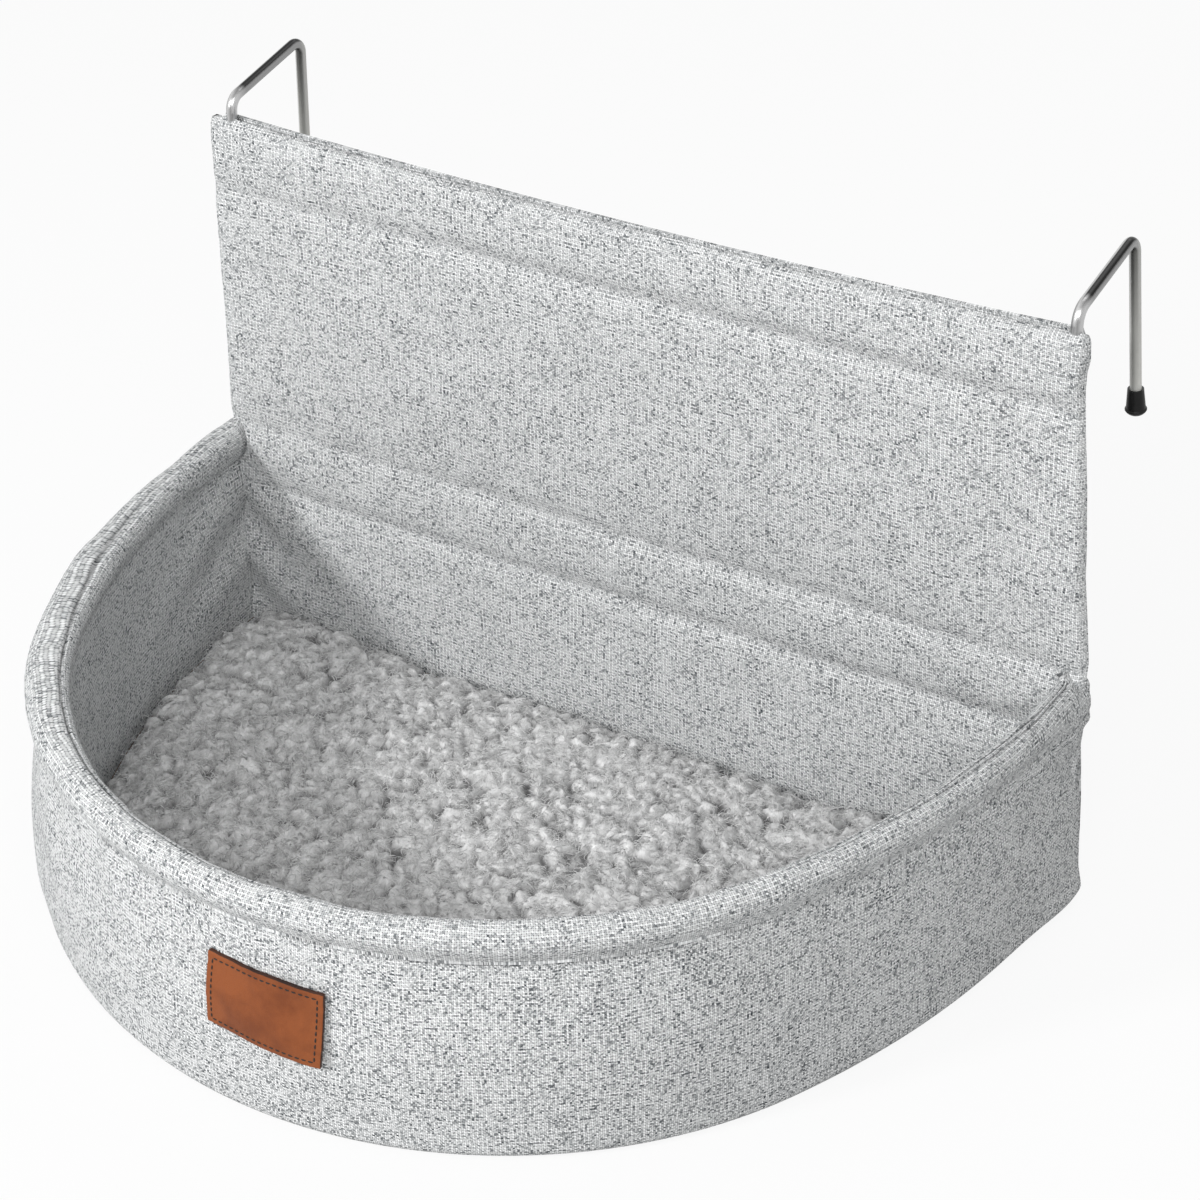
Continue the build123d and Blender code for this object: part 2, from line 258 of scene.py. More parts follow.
def greyTriple(value):
    return (value, value, value)


clothValues = {
    "warp": 0.00094,         # spacing of the upright threads
    "weft": 0.00084,
    "pale": (0.75, 0.76, 0.763),
    "mid": (0.47, 0.485, 0.49),
    "dark": (0.07, 0.08, 0.09),
    "run": 0.30,             # how fast a thread changes shade, per thread crossed
    "runShare": 0.34,
    "cellShare": 0.60,
    "patchShare": 0.20,
    "slubShare": 0.18,
    "stops": (0.48, 0.68, 0.90),
    "wavers": ((28, 0.0022), (210, 0.0006)),   # noise scales, and how far they move the threads
    "patchScale": 62.0,
    "hole": 0.88,            # painted shade in the gaps between four threads
    "otherHole": 0.65,       # every second gap is fainter by this
    "rows": 0.20,            # every second row of threads is darker by this
    "columns": 0.14,
    # painted shade in creases and seams, read from the "seam" attribute
    "seam": 0.55,
    "bump": 0.00024,
}


def wovenCloth(name, values):
    material, tree, shader = newMaterial(name)
    weave = tree.nodes.new("ShaderNodeUVMap")
    weave.uv_map = "UVMap"
    place = weave.outputs[0]
    for scale, size in values["wavers"]:
        place = wavered(tree, place, weave.outputs[0], scale, size, flat=True)
    split = splitPlace(tree, place)
    across = calc(tree, "DIVIDE", split[0], values["warp"])
    along = calc(tree, "DIVIDE", split[1], values["weft"])
    warpNumber = calc(tree, "FLOOR", across)
    weftNumber = calc(tree, "FLOOR", along)
    over = calc(tree, "FLOORED_MODULO", calc(tree, "ADD", warpNumber, weftNumber), 2.0)

    def threadNoise(wide, run):
        warp = pair(tree, calc(tree, "MULTIPLY", warpNumber, wide), calc(tree, "MULTIPLY", along, run))
        weft = pair(tree, calc(tree, "MULTIPLY", across, run), scaled(tree, weftNumber, wide, 31.0))
        return [noiseAt(tree, spot, 1.0, 1.0, 0.5, flat=True) for spot in (warp, weft)]

    warpRun, weftRun = threadNoise(7.31, values["run"])
    warpSlub, weftSlub = threadNoise(0.83, 0.04)
    cell = addNode(tree, "TexWhiteNoise", {"Vector": pair(tree, warpNumber, weftNumber)}, noise_dimensions="2D")
    patch = noiseAt(tree, place, values["patchScale"], 3.0, 0.6, flat=True)
    parts = [(mixNumber(tree, over, warpRun, weftRun), values["runShare"]), (cell, values["cellShare"]),
             (patch, values["patchShare"]), (warpSlub, values["slubShare"]), (weftSlub, values["slubShare"])]
    amount = 0.5 - 0.5 * sum(share for part, share in parts)
    for part, share in parts:
        amount = scaled(tree, part, share, amount)
    colours = (values["pale"], values["mid"], values["dark"])
    colour = colourRamp(tree, amount, list(zip(values["stops"], colours)))

    def ridge(threads):
        return calc(tree, "ABSOLUTE", calc(tree, "SINE", calc(tree, "MULTIPLY", threads, math.pi)))

    def everySecond(number, darker):
        return scaled(tree, calc(tree, "FLOORED_MODULO", number, 2.0), -darker, 1.0)

    warpRidge, weftRidge = ridge(across), ridge(along)
    ridges = scaled(tree, warpRidge, warpRidge, calc(tree, "MULTIPLY", weftRidge, weftRidge))
    hole = calc(tree, "MAXIMUM", scaled(tree, ridges, -1.1, 1.0), 0.0)
    corner = calc(tree, "ADD", calc(tree, "ROUND", across), calc(tree, "ROUND", along))
    hole = calc(tree, "MULTIPLY", hole, everySecond(corner, values["otherHole"]))
    height = mixNumber(tree, over, warpRidge, weftRidge)
    # painted shade from the "seam" attribute, in creases and seams
    shade = scaled(tree, addNode(tree, "Attribute", out=2, attribute_name="seam"), -values["seam"], 1.0)
    # the gaps between threads and the sides of each thread get painted shade; the rows, columns and crossings
    # are the threads' own tones
    for part in (scaled(tree, hole, -values["hole"], 1.0), everySecond(weftNumber, values["rows"]),
                 everySecond(warpNumber, values["columns"]), mixNumber(tree, over, 1.0, 0.92),
                 scaled(tree, height, 0.22, 0.78)):
        shade = calc(tree, "MULTIPLY", shade, part)
    colour = mixColour(tree, 1.0, colour, shade, "MULTIPLY")
    finishShader(tree, shader, colour, (height, values["bump"], 0.5), {
        "Roughness": 0.94, "Specular IOR Level": 0.12, "Sheen Weight": 0.06, "Sheen Roughness": 0.5})
    return material


def fleecePile(name, values):
    material, tree, shader = newMaterial(name)
    body = objectPlace(tree)
    pile = addNode(tree, "Attribute", out=2, attribute_name="pile")
    # painted shade: darker down in the gaps between tufts, lighter at their tips
    deep = colourRamp(tree, pile, [(0.0, values["gap"]), (0.40, values["side"]), (0.85, values["tip"])])
    combed = wavered(tree, body, body, 130.0, 0.009)
    combed = addNode(tree, "Mapping", {"Vector": combed, "Rotation": (0, 0, 0.5), "Scale": (1500, 420, 420)})
    fibres = noiseAt(tree, combed, 1.0, 2.0, 0.6)
    streak = ranged(tree, fibres, 0.80, 1.14)
    tone = ranged(tree, noiseAt(tree, body, 75.0, 3.0, 0.6), 0.86, 1.08)
    colour = mixColour(tree, 1.0, deep, calc(tree, "MULTIPLY", streak, tone), "MULTIPLY")
    finishShader(tree, shader, colour, (fibres, 0.0005, 0.6), {
        "Roughness": 1.0, "Specular IOR Level": 0.03, "Sheen Weight": 0.25, "Sheen Roughness": 0.7})
    return material


def tanLeather(name, values):
    material, tree, shader = newMaterial(name)
    body = objectPlace(tree)
    cloudy = noiseAt(tree, body, 55.0, 4.0, 0.6)
    colour = colourRamp(tree, cloudy, [(0.32, values["deep"]), (0.56, values["tan"])])
    pores = addNode(tree, "TexVoronoi", {"Vector": body, "Scale": 1500.0}, feature="F1")
    fine = noiseAt(tree, body, 2500.0, 3.0, 0.6)
    finishShader(tree, shader, colour, (scaled(tree, fine, 0.5, pores), 0.00015, 0.45), {
        "Roughness": ranged(tree, fine, 0.5, 0.68), "Specular IOR Level": 0.22})
    return material


def brushedSteel(name, values):
    # drawn wire with painted reflection, bright on its left and dark towards the right by which way it faces;
    # dull beige where it hangs behind, painted lighter than its shade there
    material, tree, shader = newMaterial(name)
    body = objectPlace(tree)
    facing = splitPlace(tree, tree.nodes.new("ShaderNodeTexCoord").outputs["Normal"])[0]
    backwards = splitPlace(tree, body)[1]
    drawn = addNode(tree, "Mapping", {"Vector": body, "Scale": (2600, 2600, 60)})
    lines = noiseAt(tree, drawn, 1.0, 3.0, 0.6)
    # the drawn lines, plus painted reflection from which way the surface faces
    drawnLinesAndPaintedReflection = scaled(tree, lines, 0.16, calc(tree, "SUBTRACT", facing, 0.08))
    share = scaled(tree, drawnLinesAndPaintedReflection, 0.5, 0.5)
    bright, dark, edge, dull = (greyTriple(values[key]) for key in ("bright", "dark", "edge", "dull"))
    # painted reflection: the runs pale on the left and near black towards the right, the stem lighter
    run = colourRamp(tree, share, [(0.12, edge), (0.26, bright), (0.40, dark), (0.84, dark), (0.95, edge)])
    stemPaintedReflection = colourRamp(tree, share, [(0.15, edge), (0.35, bright), (0.70, edge), (0.92, dull)])
    # the leg's dull beige, painted lighter than the shade it hangs in
    beige = mixColour(tree, scaled(tree, lines, 0.5, 0.2), (*dull[:2], dull[2] * 0.90, 1), (*dull, 1))
    legY, stemY = values["legY"], values["stemY"]
    leg = ranged(tree, backwards, 0.0, 1.0, legY - 0.003, legY + 0.003)
    pastStem = ranged(tree, backwards, 0.0, 1.0, stemY, stemY + 0.007)
    colour = mixColour(tree, leg, mixColour(tree, pastStem, stemPaintedReflection, run), beige)
    rough = ranged(tree, lines, values["roughness"], values["roughness"] * 1.5)
    finishShader(tree, shader, colour, (lines, 0.00004, 0.25), {
        "Roughness": mixNumber(tree, leg, rough, 0.5), "Metallic": scaled(tree, leg, -0.8, 1.0)})
    return material


def speckled(name, shades, grain, relief, roughness, specular=0.5):
    # a plain material in two shades, with fine noise for its grain; roughness is a number or a range
    material, tree, shader = newMaterial(name)
    speckle = noiseAt(tree, objectPlace(tree), *grain)
    colour = colourRamp(tree, speckle, shades)
    gloss = ranged(tree, speckle, *roughness) if isinstance(roughness, tuple) else roughness
    finishShader(tree, shader, colour, (speckle, *relief), {"Roughness": gloss, "Specular IOR Level": specular})
    return material


# the fleece's colours by pile height: painted shade in the gaps, lighter tips
fleeceColours = {"gap": greyTriple(0.12), "side": greyTriple(0.38), "tip": greyTriple(0.61)}
leatherColours = {"tan": (0.205, 0.058, 0.0165), "deep": (0.140, 0.037, 0.0105)}
cutEdgeColours = {"tan": (0.05, 0.02, 0.012), "deep": (0.02, 0.01, 0.008)}
steelValues = {
    # shades of the painted reflection on the rods, and of the dull leg
    "bright": 0.62, "dark": 0.02, "edge": 0.28, "dull": 0.52, "roughness": 0.24,
    "stemY": 0.149,          # where the rod leaves its upright stem
    "legY": 0.2010,          # where it turns down behind the radiator's edge
}
wireValues = {
    "bright": 0.50, "dark": 0.30, "edge": 0.35, "dull": 0.40, "roughness": 0.35,
    "stemY": 9.0,            # both out of reach, as these wires have no stem or leg
    "legY": 9.0,
}
rubberShades = [(0.3, greyTriple(0.003)), (0.7, greyTriple(0.009))]
boardShades = [(0.35, (0.13, 0.075, 0.04)), (0.65, (0.24, 0.15, 0.085))]
threadShades = [(0.35, (0.0066, 0.0044, 0.0033)), (0.65, (0.012, 0.008, 0.006))]

# the outside of the bowl is crisper, because its cloth is stretched
wallClothValues = {**clothValues, "warp": 0.00086, "weft": 0.00077, "pale": (0.80, 0.81, 0.813),
                   "mid": (0.43, 0.445, 0.45), "runShare": 0.44, "cellShare": 0.64}

clothMaterial = wovenCloth("wovenMelange", clothValues)
wallClothMaterial = wovenCloth("wovenMelangeTaut", wallClothValues)
fleeceMaterial = fleecePile("curlyFleece", fleeceColours)
leatherMaterial = tanLeather("tanLeather", leatherColours)
cutEdgeMaterial = tanLeather("burntLeatherEdge", cutEdgeColours)
steelMaterial = brushedSteel("brushedSteel", steelValues)
wireMaterial = brushedSteel("plainWire", wireValues)
rubberMaterial = speckled("blackRubber", rubberShades, (1800.0, 4.0, 0.6), (0.0001, 0.3), (0.30, 0.44), 0.2)
boardMaterial = speckled("hardboard", boardShades, (700.0, 5.0, 0.7), (0.0001, 0.4), 0.7)
threadMaterial = speckled("darkThread", threadShades, (3200.0, 2.0, 0.6), (0.0001, 0.4), 0.8)
print("materials ready")


def setMaterial(piece, *materials):
    piece.data.materials.clear()
    for material in materials:
        piece.data.materials.append(material)


for material, nodeNames in (
        (steelMaterial, ("left_hook_rod", "right_hook_rod")),
        (rubberMaterial, ("left_hook_cap", "right_hook_cap")),
        (wireMaterial, ("rim_hoop", "top_hem_bar")),
        (boardMaterial, ("base_board",))):
    for nodeName in nodeNames:
        setMaterial(nodes[nodeName], material)


# Plan line of the bowl: a short straight run, a side arc, the front arc, and back

plyValues = {"cloth": 0.0012, "gap": 0.0003, "wall": 0.0085}

rimLow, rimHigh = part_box("rim_sleeve")
planValues = {
    "halfWidth": rimHigh.x,
    "backY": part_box("rear_cover")[1].y,
    "clothEndY": rimHigh.y,
    "frontY": rimLow.y,
    "straight": 0.012,
    "sideRadius": 0.400,
}


def planArcs(values):
    half, radius = values["halfWidth"], values["sideRadius"]
    bulge = values["backY"] - values["frontY"] - values["straight"]
    front = (half ** 2 + bulge ** 2 - 2 * radius * half) / (2 * (bulge - radius))
    sideY = values["backY"] - values["straight"]
    frontY = values["frontY"] + front
    meet = math.atan2(sideY - frontY, radius - half)
    run = values["clothEndY"] - sideY
    return {"front": front, "sideY": sideY, "frontY": frontY, "meet": meet, "run": run}


arcs = planArcs(planValues)
sideLength = planValues["sideRadius"] * arcs["meet"]
frontLength = arcs["front"] * (math.pi - 2 * arcs["meet"])
planLength = 2 * (arcs["run"] + sideLength) + frontLength


def endDistance(distance):
    # from the nearer back end
    return np.minimum(distance, planLength - distance)


def bowlLine(distance):
    # point and inward direction, distance measured from the left back end
    distance = np.asarray(distance, float)
    fromEnd = endDistance(distance)
    side = np.where(distance < planLength / 2, -1.0, 1.0)
    x = np.full_like(distance, planValues["halfWidth"])
    y = planValues["clothEndY"] - fromEnd
    nx, ny = -np.ones_like(distance), np.zeros_like(distance)
    radius = planValues["sideRadius"]
    for start, startTurn, radius, centreX, centreY in (
            (arcs["run"], 0.0, radius, planValues["halfWidth"] - radius, arcs["sideY"]),
            (arcs["run"] + sideLength, arcs["meet"], arcs["front"], 0.0, arcs["frontY"])):
        turn = startTurn + (fromEnd - start) / radius
        onArc = fromEnd > start
        x = np.where(onArc, centreX + radius * np.cos(turn), x)
        y = np.where(onArc, centreY - radius * np.sin(turn), y)
        nx = np.where(onArc, -np.cos(turn), nx)
        ny = np.where(onArc, np.sin(turn), ny)
    return side * x, y, side * nx, ny


def atInset(distance, inset, height):
    x, y, nx, ny = bowlLine(distance)
    return np.column_stack((x + inset * nx, y + inset * ny, height))


def walk(points, share):
    # inset and height at a share of the way along a section
    points = np.array(points, float)
    steps = np.hypot(*np.diff(points, axis=0).T)
    reach = np.concatenate(([0], np.cumsum(steps)))
    far = share * reach[-1]
    return np.interp(far, reach, points[:, 0]), np.interp(far, reach, points[:, 1]), far


def bend(centre, radius, first, last, count=9):
    turns = np.radians(np.linspace(first, last, count))
    return [(centre[0] + radius * math.cos(t), centre[1] + radius * math.sin(t)) for t in turns]


def ripples(seed, x, y, size, octaves=3):
    # soft noise between -1 and 1 for arrays of places, in metres
    values = np.empty(len(x))
    shift = Vector((seed * 17.3, seed * 5.9, seed * 11.1))
    for i, (a, b) in enumerate(zip(x, y)):
        values[i] = noise.fractal(Vector((a / size, b / size, 0)) + shift, 1.0, 2.0, octaves)
    return values


# Making and finishing of pieces

def selectOnly(piece):
    bpy.ops.object.select_all(action="DESELECT")
    piece.select_set(True)
    bpy.context.view_layer.objects.active = piece


def getPlaces(piece):
    places = np.empty(len(piece.data.vertices) * 3)
    piece.data.vertices.foreach_get("co", places)
    return places.reshape(-1, 3)


def setPlaces(piece, places):
    piece.data.vertices.foreach_set("co", np.asarray(places, float).ravel())
    piece.data.update()


def gridPiece(name, columns, rows, surface):
    bpy.ops.object.select_all(action="DESELECT")
    bpy.ops.mesh.primitive_grid_add(x_subdivisions=columns, y_subdivisions=rows, size=2)
    piece = bpy.context.object
    piece.name = name
    share = getPlaces(piece)[:, :2] / 2 + 0.5
    places, weave, paintedCreaseShade = surface(share[:, 0], share[:, 1])
    setPlaces(piece, places)
    # the surface's third result is painted shade for creases and seams, kept as "seam"
    store = piece.data.attributes.new("seam", "FLOAT", "POINT")
    store.data.foreach_set("value", np.asarray(paintedCreaseShade, np.float32))
    piece.data.uv_layers[0].data.foreach_set("uv", np.asarray(weave)[loopCorners(piece)].ravel())
    piece.data.uv_layers[0].name = "UVMap"
    return piece


def applyModifier(piece, kind, **settings):
    selectOnly(piece)
    modifier = piece.modifiers.new(kind.title(), kind)
    for key, value in settings.items():
        setattr(modifier, key, value)
    bpy.ops.object.modifier_apply(modifier=modifier.name)


def smooth(piece, angle=60):
    selectOnly(piece)
    bpy.ops.object.shade_smooth_by_angle(angle=math.radians(angle))


def editWhole(piece, step, **settings):
    # one step of edit mode, on the whole mesh
    selectOnly(piece)
    bpy.ops.object.mode_set(mode="EDIT")
    bpy.ops.mesh.select_all(action="SELECT")
    step(**settings)
    bpy.ops.object.mode_set(mode="OBJECT")


def mergeDoubles(piece):
    editWhole(piece, bpy.ops.mesh.remove_doubles, threshold=0.00002)


def outwards(piece):
    editWhole(piece, bpy.ops.mesh.normals_make_consistent, inside=False)


def cutRows(piece, axis, places):
    # a row of points across the mesh at each place along the axis
    for place in places:
        editWhole(piece, bpy.ops.mesh.bisect, plane_co=place * axis, plane_no=axis)


def giveThickness(piece):
    applyModifier(piece, "SOLIDIFY", thickness=plyValues["cloth"], offset=-1.0, use_even_offset=True)


def loopCorners(piece):
    corners = np.empty(len(piece.data.loops), int)
    piece.data.loops.foreach_get("vertex_index", corners)
    return corners


# Outer cloth of the wall

wallValues = {
    "fold": 0.0048,          # radius of the turn under the bed
    "lift": 0.0003,
    "groove": 0.004,         # how far the wall is drawn in under the rim
    "belly": 0.0016,
    "tuck": 0.006,
    "dent": 0.0034,          # deepest soft dent
    "broadSize": 0.085,      # sizes of the soft noise in the dents and gathers
    "slantSize": 0.035,
    "puckerSize": 0.012,
    "pucker": 0.0010,        # gathers under the rim
    "drag": 0.0011,          # slanting folds at the back ends
    "dragPitch": 0.023,
    "sag": 0.0011,           # unevenness of the lining
    "sagPitch": 0.050,
}
grooveZ = rimLow.z
foldTop = wallValues["fold"] + wallValues["lift"]

fullValues = {               # the left side hangs fuller, and its rim is thicker
    "middle": 0.205,         # distance from the left back end
    "before": 0.170,
    "after": 0.110,
    "heights": (0.0, 0.020, 0.045, 0.080, 0.098, 0.114),
    "outwards": (0.0068, 0.0098, 0.0090, 0.0066, 0.0050, 0.0050),
    "rimIn": 0.0022,
    "rimOut": ((0.012, 0.018, 0.0020), (0.135, 0.045, 0.0020)),   # places, widths and swells, rim only
    "endHeights": (0.0, 0.006, 0.0155, 0.031, 0.047, 0.062, 0.078, 0.093, 0.100, 0.107, 0.114),
    # how far the right back end stands out
    "endOut": (0.0050, 0.0042, 0.0022, 0.0012, 0.0010, 0.0005, 0.0003, 0.0056, 0.0036, -0.0002, -0.0016),
}


def smoothStep(x, low, high):
    share = np.clip((x - low) / (high - low), 0, 1)
    return share * share * (3 - 2 * share)


def leftShare(distance):
    reach = np.where(distance < fullValues["middle"], fullValues["before"], fullValues["after"])
    return np.exp(-((distance - fullValues["middle"]) / reach) ** 2)


def fullness(distance, height):
    left = leftShare(distance) * np.interp(height, fullValues["heights"], fullValues["outwards"])
    end = np.exp(-((planLength - distance - 0.008) / 0.026) ** 2)
    corner = sum(out * np.exp(-((distance - at) / width) ** 2) for at, width, out in fullValues["rimOut"])
    end = end * np.interp(height, fullValues["endHeights"], fullValues["endOut"])
    return left + end + corner * smoothStep(height, 0.085, 0.105)


def wallShare(height):
    return np.clip((height - foldTop) / (grooveZ - foldTop), 0, 1)


def wallInset(height):
    share = wallShare(height)
    swell = 4 * wallValues["belly"] * share * (1 - share)
    return wallValues["groove"] * share - swell


def wallDent(distance, height):
    share = wallShare(height)
    middle = np.sin(np.pi * share) ** 0.8
    broad = ripples(3, distance, height * 0.8, wallValues["broadSize"], 2)
    slant = ripples(5, distance + height * 0.7, height * 0.35, wallValues["slantSize"], 2)
    dent = wallValues["dent"] * (0.65 * broad + 0.35 * slant) * middle
    near = np.exp(-((grooveZ - height) / 0.020) ** 2)
    fromEnd = endDistance(distance)
    slanting = 2 * np.pi * (fromEnd * 0.75 - height) / wallValues["dragPitch"]
    slanting = np.sin(slanting + 2.2 * np.sin(fromEnd * 40))
    window = smoothStep(height, 0.030, 0.060) * (1 - smoothStep(fromEnd, 0.03, 0.17))
    dent = dent + wallValues["drag"] * slanting * window * (0.4 + 0.6 * share)
    pucker = wallValues["pucker"] * near * ripples(7, distance, height * 0.1, wallValues["puckerSize"], 2)
    return dent + pucker - fullness(distance, height)


def outerWallSurface(u, v):
    section = bend((wallValues["fold"], foldTop), wallValues["fold"], -90, -180)
    heights = np.linspace(foldTop, grooveZ, 40)
    section += list(zip(wallInset(heights), heights))[1:]
    section.append((wallValues["groove"], grooveZ + wallValues["tuck"]))
    inset, height, far = walk(section, v)
    distance = u * planLength
    underneath = np.clip(inset / wallValues["fold"], 0, 1) * (height < foldTop)
    inset = inset + wallDent(distance, height) + fullness(distance, height) * underneath
    # painted shade in the crease along the groove under the rim
    paintedCreaseShade = 0.5 * np.exp(-((height - grooveZ) / 0.0025) ** 2)
    return atInset(distance, inset, height), np.column_stack((distance, far)), paintedCreaseShade


outerWall = gridPiece("outerWall", 420, 54, outerWallSurface)
giveThickness(outerWall)
smooth(outerWall)
setMaterial(outerWall, wallClothMaterial)
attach(outerWall, "bed")
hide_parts("outer_wall_cloth")
print("outer wall ready")


# Foam and lining of the wall, one padded form that follows the outer cloth

def paddingSurface(u, v):
    endGap = planValues["clothEndY"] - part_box("wall_lining")[1].y
    distance = endGap + u * (planLength - 2 * endGap)
    depth = plyValues["cloth"] + 2 * plyValues["gap"]
    top = grooveZ + wallValues["tuck"]
    foot = wallValues["fold"]
    inner = plyValues["wall"]
    heights = np.linspace(foldTop, grooveZ, 14)
    section = [(inner - 0.001, foot), (inner, foot + 0.001)]
    section += [(inner, z) for z in np.linspace(foot + 0.004, top - 0.004, 24)]
    section += [(inner, top - 0.001), (inner - 0.001, top)]
    section += [(wallValues["groove"] + depth, top)]
    section += [(inset + depth, z) for inset, z in zip(wallInset(heights), heights)][::-1]
    section += [(depth + 0.001, foot), (inner - 0.001, foot)]
    inset, height, far = walk(section, v)
    inward = np.clip((inset - depth - 0.002) / (inner - depth - 0.002), 0, 1)
    dent = wallDent(distance, height)
    upwards = np.sin(np.pi * np.clip((height - foot) / (top - foot), 0, 1))
    inside = wallValues["sag"] * ripples(11, distance, height, wallValues["sagPitch"], 3) * upwards
    fromEnd = endDistance(distance)
    sag = np.sin(2 * np.pi * (height * 1.2 + fromEnd * 0.5) / wallValues["sagPitch"] + 1.0)
    inside += wallValues["sag"] * sag * (1 - smoothStep(fromEnd, 0.02, 0.12)) * smoothStep(height, 0.01, 0.04)
    move = np.where(inward > 0.8, inside, dent)
    places = atInset(distance, inset + move, height)
    return places, np.column_stack((distance, far)), np.zeros_like(distance)


wallPadding = gridPiece("wallPadding", 400, 110, paddingSurface)
mergeDoubles(wallPadding)
editWhole(wallPadding, bpy.ops.mesh.fill_holes, sides=0)
outwards(wallPadding)
smooth(wallPadding)
setMaterial(wallPadding, clothMaterial)
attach(wallPadding, "bed")
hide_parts("wall_foam", "wall_lining")
print("wall padding ready")


# Rolled rim with its seam

rimValues = {
    "width": 0.012,
    "band": 0.016,
    "bulge": 0.0010,         # how far the roll swells past its wire
    "seamStops": (0.0, 0.06, 0.13, 0.21, 0.70, 0.80, 0.845),
    "seam": (0.0060, 0.0060, 0.0050, 0.0034, 0.0034, 0.0052, 0.0060),  # from the inner edge
    "second": 0.0026,        # second row of stitches at the right end, further out
    "seamDepth": 0.0009,
    "seamWidth": 0.0005,
    "fillet": 0.0060,        # the roll turns up where it meets the back
    "turnUp": 0.0035,
    "drawnIn": 0.0040,       # of its outer side, at the same place
    "uneven": (0.0008, 0.022),       # height and size of the soft noise
    "waver": (0.0003, 0.03),         # the same for the seam's line
    "seamFrom": (0.06, 0.12),        # distances over which a seam grows clear
    "secondFrom": (0.62, 0.72),
    "outerBand": (0.0030, 0.0085),   # insets over which the wall's fullness fades
    "innerBand": (0.0050, 0.0100),
    "meeting": (0.0012, 0.0013),     # place and width of the painted shade in the crease against the back
}


def rimSection():
    half = rimValues["width"] / 2
    centreZ = rimHigh.z - half
    outerFoot = wallValues["groove"] - plyValues["gap"] - plyValues["cloth"]
    innerFoot = plyValues["wall"] + plyValues["gap"] + plyValues["cloth"]
    drop = centreZ - grooveZ
    section = []
    for share in np.linspace(0, 1, 8):       # outer leg, up
        section.append((outerFoot * (1 - share) ** 2, grooveZ + drop * share))
    section += bend((half, centreZ), half, 180, 0, 25)[1:]
    for share in np.linspace(0, 1, 8)[1:]:   # inner leg, down
        back = (rimValues["width"] - innerFoot) * share ** 2
        section.append((rimValues["width"] - back, centreZ - drop * share))
    return section


def rimSurface(u, v):
    section = rimSection()
    v = v - 0.085 * np.sin(2 * np.pi * (v - 0.60))    # more rows about the seams
    inset, height, far = walk(section, np.clip(v, 0, 1))
    distance = u * planLength
    half = rimValues["width"] / 2
    centreZ = rimHigh.z - half
    outX, outZ = inset - half, height - centreZ
    reach = np.maximum(np.hypot(outX, outZ), 1e-6)
    outX, outZ = outX / reach, outZ / reach
    upper = np.clip((height - grooveZ) / rimValues["band"], 0, 1)
    swell = rimValues["bulge"] * np.sin(np.pi * upper) ** 2 * np.where(inset < half, 1.0, 0.3)
    high, size = rimValues["uneven"]
    swell += high * ripples(13, distance, far, size, 3) * upper
    seamAt = rimValues["width"] - np.interp(distance, rimValues["seamStops"], rimValues["seam"])
    high, size = rimValues["waver"]
    waver = high * ripples(15, distance, far * 0, size, 2)
    top = height > centreZ
    press = np.exp(-((inset - seamAt - waver) / rimValues["seamWidth"]) ** 2) * top
    press = press * (0.25 + 0.75 * smoothStep(distance, *rimValues["seamFrom"]))
    away = inset - seamAt - waver + rimValues["second"]
    pressTwo = 0.8 * np.exp(-(away / rimValues["seamWidth"]) ** 2) * top
    pressTwo = pressTwo * smoothStep(distance, *rimValues["secondFrom"])
    swell -= rimValues["seamDepth"] * np.maximum(press, pressTwo)
    outer = 1 - smoothStep(inset, *rimValues["outerBand"])
    inner = smoothStep(inset, *rimValues["innerBand"]) * upper
    move = leftShare(distance) * fullValues["rimIn"] * inner - fullness(distance, height) * outer
    fromEnd = endDistance(distance)
    fromBack = fromEnd - (planValues["clothEndY"] - backFaceY)
    toBack = np.clip(fromBack, 0, rimValues["fillet"])
    turn = rimValues["fillet"] - np.sqrt(rimValues["fillet"] ** 2 - (rimValues["fillet"] - toBack) ** 2)
    share = turn / rimValues["fillet"]
    turnUp = rimValues["turnUp"] * share * smoothStep(height, centreZ, rimHigh.z)
    drawnIn = rimValues["drawnIn"] * share * (1 - smoothStep(inset, 0.0, rimValues["width"]))
    drawnIn = drawnIn * smoothStep(height, centreZ - 0.003, rimHigh.z)
    places = atInset(distance, inset + outX * swell + move + drawnIn, height + outZ * swell + turnUp)
    # painted shade in the crease where the roll meets the back, and along its seams
    place, width = rimValues["meeting"]
    meeting = np.exp(-((fromBack - place) / width) ** 2)
    meeting = meeting * (distance < planLength / 2) * smoothStep(inset, 0.002, 0.006)
    paintedCreaseShade = np.maximum(np.maximum(press, pressTwo), 0.9 * meeting)
    return places, np.column_stack((distance, far)), paintedCreaseShade


backLow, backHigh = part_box("front_cover")
backFaceY = backLow.y
rimRoll = gridPiece("rimRoll", 400, 94, rimSurface)
giveThickness(rimRoll)
smooth(rimRoll)
setMaterial(rimRoll, clothMaterial)
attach(rimRoll, "bed")
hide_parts("rim_sleeve")
print("rim ready")


# Padded back with its sewn channels

